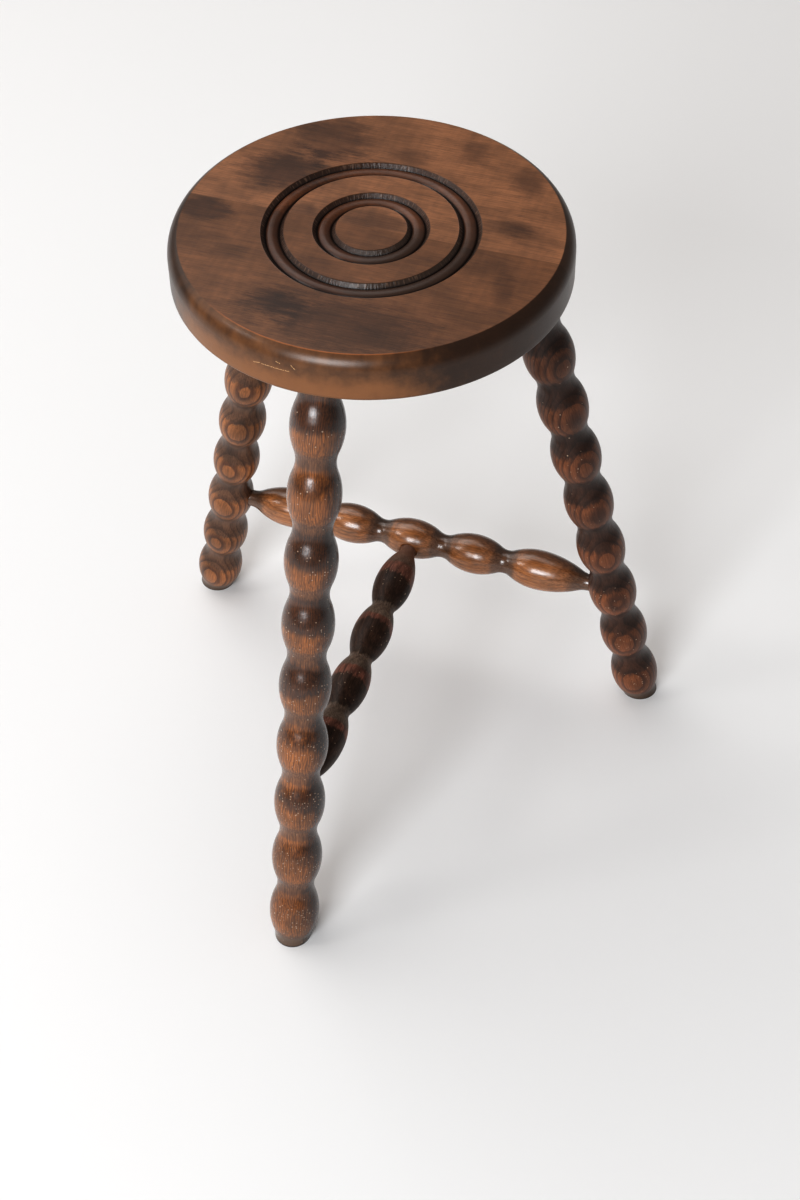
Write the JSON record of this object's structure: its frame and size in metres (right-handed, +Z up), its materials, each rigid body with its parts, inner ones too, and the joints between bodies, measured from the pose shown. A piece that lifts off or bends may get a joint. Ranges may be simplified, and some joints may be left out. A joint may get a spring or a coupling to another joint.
{
  "type": "three-legged stool",
  "caption": "Round-seated wooden stool on splayed bobbin-turned legs, braced low down by a T of bobbin-turned stretchers; the seat top has sunk turned rings.",
  "frame": {"origin": "the point on the floor straight below the centre of the round seat", "axes": "+Z up along the seat's turning axis; -Y towards the front leg, the one that the cross stretcher runs to; +X to the right, along the seat's glue line"},
  "size_m": [0.4088, 0.3654, 0.5],
  "materials": {
    "seat_wood": "satin",
    "leg_wood": "satin",
    "stretcher_wood": "satin"
  },
  "bodies": {
    "root": {"seat_front_board": "seat_wood", "seat_rear_board": "seat_wood", "front_leg": "leg_wood", "right_rear_leg": "leg_wood", "left_rear_leg": "leg_wood", "rear_stretcher": "stretcher_wood", "cross_stretcher": "stretcher_wood"}
  },
  "joints": []
}
